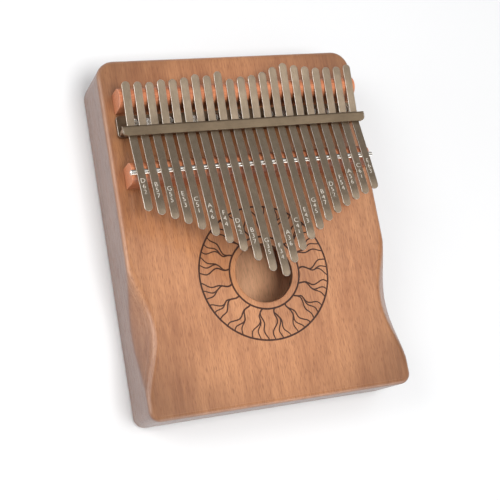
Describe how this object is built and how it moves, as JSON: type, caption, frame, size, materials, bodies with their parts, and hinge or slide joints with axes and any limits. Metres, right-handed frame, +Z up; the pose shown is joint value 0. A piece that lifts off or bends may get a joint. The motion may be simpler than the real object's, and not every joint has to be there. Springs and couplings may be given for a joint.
{
  "type": "mbira",
  "caption": "Box-bodied mbira: hollow wooden body with sound hole, hand scoops and wooden bridges, and a row of plucked spring-steel tines held by a press bar over a saddle rod.",
  "frame": {"origin": "under the middle of the back, on the face the instrument lies on", "axes": "+Z up out of the soundboard, +Y along the tines towards the bridges, +X across the tines to the player's right when the bridges point away from the player"},
  "size_m": [0.15, 0.195, 0.0686],
  "materials": {
    "face_wood": "satin oiled mahogany, fine upright grain",
    "side_wood": "satin oiled mahogany, darker side grain",
    "back_wood": "satin oiled mahogany",
    "bridge_wood": "satin red-brown hardwood",
    "inner_wood": "plain sawn wood",
    "tine_steel": "brushed spring steel with a warm nickel tint",
    "clamp_steel": "satin nickel-plated steel",
    "rod_steel": "polished plated steel rod",
    "screw_steel": "plated steel screws"
  },
  "bodies": {
    "instrument": {"body_frame": "side_wood", "soundboard": "face_wood", "back_plate": "back_wood", "anchor_block": "inner_wood", "bridge_brace": "inner_wood", "upper_bridge": "bridge_wood", "lower_bridge": "bridge_wood", "saddle_rod": "rod_steel", "base_plate": "clamp_steel", "press_bar": "clamp_steel", "wood_screws": "screw_steel", "clamp_screws": "screw_steel", "tine_01_shank": "tine_steel", "tine_02_shank": "tine_steel", "tine_03_shank": "tine_steel", "tine_04_shank": "tine_steel", "tine_05_shank": "tine_steel", "tine_06_shank": "tine_steel", "tine_07_shank": "tine_steel", "tine_08_shank": "tine_steel", "tine_09_shank": "tine_steel", "tine_10_shank": "tine_steel", "tine_11_shank": "tine_steel", "tine_12_shank": "tine_steel", "tine_13_shank": "tine_steel", "tine_14_shank": "tine_steel", "tine_15_shank": "tine_steel", "tine_16_shank": "tine_steel", "tine_17_shank": "tine_steel", "tine_18_shank": "tine_steel", "tine_19_shank": "tine_steel", "tine_20_shank": "tine_steel", "tine_21_shank": "tine_steel"},
    "speaking_tine_01": {"tine_01": "tine_steel"},
    "speaking_tine_02": {"tine_02": "tine_steel"},
    "speaking_tine_03": {"tine_03": "tine_steel"},
    "speaking_tine_04": {"tine_04": "tine_steel"},
    "speaking_tine_05": {"tine_05": "tine_steel"},
    "speaking_tine_06": {"tine_06": "tine_steel"},
    "speaking_tine_07": {"tine_07": "tine_steel"},
    "speaking_tine_08": {"tine_08": "tine_steel"},
    "speaking_tine_09": {"tine_09": "tine_steel"},
    "speaking_tine_10": {"tine_10": "tine_steel"},
    "speaking_tine_11": {"tine_11": "tine_steel"},
    "speaking_tine_12": {"tine_12": "tine_steel"},
    "speaking_tine_13": {"tine_13": "tine_steel"},
    "speaking_tine_14": {"tine_14": "tine_steel"},
    "speaking_tine_15": {"tine_15": "tine_steel"},
    "speaking_tine_16": {"tine_16": "tine_steel"},
    "speaking_tine_17": {"tine_17": "tine_steel"},
    "speaking_tine_18": {"tine_18": "tine_steel"},
    "speaking_tine_19": {"tine_19": "tine_steel"},
    "speaking_tine_20": {"tine_20": "tine_steel"},
    "speaking_tine_21": {"tine_21": "tine_steel"}
  },
  "joints": [
    {"name": "tine_01_pluck", "type": "hinge", "parent": "instrument", "child": "speaking_tine_01", "pos_m": [-0.0645, 0.0298, 0.05351], "axis": [1, 0, 0], "range_deg": [-2, 2], "stiffness_Nm_per_rad": 6.7},
    {"name": "tine_02_pluck", "type": "hinge", "parent": "instrument", "child": "speaking_tine_02", "pos_m": [-0.05805, 0.0298, 0.05351], "axis": [1, 0, 0], "range_deg": [-2, 2], "stiffness_Nm_per_rad": 6},
    {"name": "tine_03_pluck", "type": "hinge", "parent": "instrument", "child": "speaking_tine_03", "pos_m": [-0.0516, 0.0298, 0.05351], "axis": [1, 0, 0], "range_deg": [-2, 2], "stiffness_Nm_per_rad": 5.4},
    {"name": "tine_04_pluck", "type": "hinge", "parent": "instrument", "child": "speaking_tine_04", "pos_m": [-0.04515, 0.0298, 0.05351], "axis": [1, 0, 0], "range_deg": [-2, 2], "stiffness_Nm_per_rad": 4.8},
    {"name": "tine_05_pluck", "type": "hinge", "parent": "instrument", "child": "speaking_tine_05", "pos_m": [-0.0387, 0.0298, 0.05351], "axis": [1, 0, 0], "range_deg": [-2, 2], "stiffness_Nm_per_rad": 4.3},
    {"name": "tine_06_pluck", "type": "hinge", "parent": "instrument", "child": "speaking_tine_06", "pos_m": [-0.03225, 0.0298, 0.05351], "axis": [1, 0, 0], "range_deg": [-2, 2], "stiffness_Nm_per_rad": 3.9},
    {"name": "tine_07_pluck", "type": "hinge", "parent": "instrument", "child": "speaking_tine_07", "pos_m": [-0.0258, 0.0298, 0.05351], "axis": [1, 0, 0], "range_deg": [-2, 2], "stiffness_Nm_per_rad": 3.5},
    {"name": "tine_08_pluck", "type": "hinge", "parent": "instrument", "child": "speaking_tine_08", "pos_m": [-0.01935, 0.0298, 0.05351], "axis": [1, 0, 0], "range_deg": [-2, 2], "stiffness_Nm_per_rad": 3.1},
    {"name": "tine_09_pluck", "type": "hinge", "parent": "instrument", "child": "speaking_tine_09", "pos_m": [-0.0129, 0.0298, 0.05351], "axis": [1, 0, 0], "range_deg": [-2, 2], "stiffness_Nm_per_rad": 2.8},
    {"name": "tine_10_pluck", "type": "hinge", "parent": "instrument", "child": "speaking_tine_10", "pos_m": [-0.00645, 0.0298, 0.05351], "axis": [1, 0, 0], "range_deg": [-2, 2], "stiffness_Nm_per_rad": 2.5},
    {"name": "tine_11_pluck", "type": "hinge", "parent": "instrument", "child": "speaking_tine_11", "pos_m": [0, 0.0298, 0.05351], "axis": [1, 0, 0], "range_deg": [-2, 2], "stiffness_Nm_per_rad": 2.3},
    {"name": "tine_12_pluck", "type": "hinge", "parent": "instrument", "child": "speaking_tine_12", "pos_m": [0.00645, 0.0298, 0.05351], "axis": [1, 0, 0], "range_deg": [-2, 2], "stiffness_Nm_per_rad": 2.6},
    {"name": "tine_13_pluck", "type": "hinge", "parent": "instrument", "child": "speaking_tine_13", "pos_m": [0.0129, 0.0298, 0.05351], "axis": [1, 0, 0], "range_deg": [-2, 2], "stiffness_Nm_per_rad": 2.9},
    {"name": "tine_14_pluck", "type": "hinge", "parent": "instrument", "child": "speaking_tine_14", "pos_m": [0.01935, 0.0298, 0.05351], "axis": [1, 0, 0], "range_deg": [-2, 2], "stiffness_Nm_per_rad": 3.3},
    {"name": "tine_15_pluck", "type": "hinge", "parent": "instrument", "child": "speaking_tine_15", "pos_m": [0.0258, 0.0298, 0.05351], "axis": [1, 0, 0], "range_deg": [-2, 2], "stiffness_Nm_per_rad": 3.7},
    {"name": "tine_16_pluck", "type": "hinge", "parent": "instrument", "child": "speaking_tine_16", "pos_m": [0.03225, 0.0298, 0.05351], "axis": [1, 0, 0], "range_deg": [-2, 2], "stiffness_Nm_per_rad": 4.1},
    {"name": "tine_17_pluck", "type": "hinge", "parent": "instrument", "child": "speaking_tine_17", "pos_m": [0.0387, 0.0298, 0.05351], "axis": [1, 0, 0], "range_deg": [-2, 2], "stiffness_Nm_per_rad": 4.6},
    {"name": "tine_18_pluck", "type": "hinge", "parent": "instrument", "child": "speaking_tine_18", "pos_m": [0.04515, 0.0298, 0.05351], "axis": [1, 0, 0], "range_deg": [-2, 2], "stiffness_Nm_per_rad": 5.1},
    {"name": "tine_19_pluck", "type": "hinge", "parent": "instrument", "child": "speaking_tine_19", "pos_m": [0.0516, 0.0298, 0.05351], "axis": [1, 0, 0], "range_deg": [-2, 2], "stiffness_Nm_per_rad": 5.7},
    {"name": "tine_20_pluck", "type": "hinge", "parent": "instrument", "child": "speaking_tine_20", "pos_m": [0.05805, 0.0298, 0.05351], "axis": [1, 0, 0], "range_deg": [-2, 2], "stiffness_Nm_per_rad": 6.4},
    {"name": "tine_21_pluck", "type": "hinge", "parent": "instrument", "child": "speaking_tine_21", "pos_m": [0.0645, 0.0298, 0.05351], "axis": [1, 0, 0], "range_deg": [-2, 2], "stiffness_Nm_per_rad": 7.1}
  ]
}
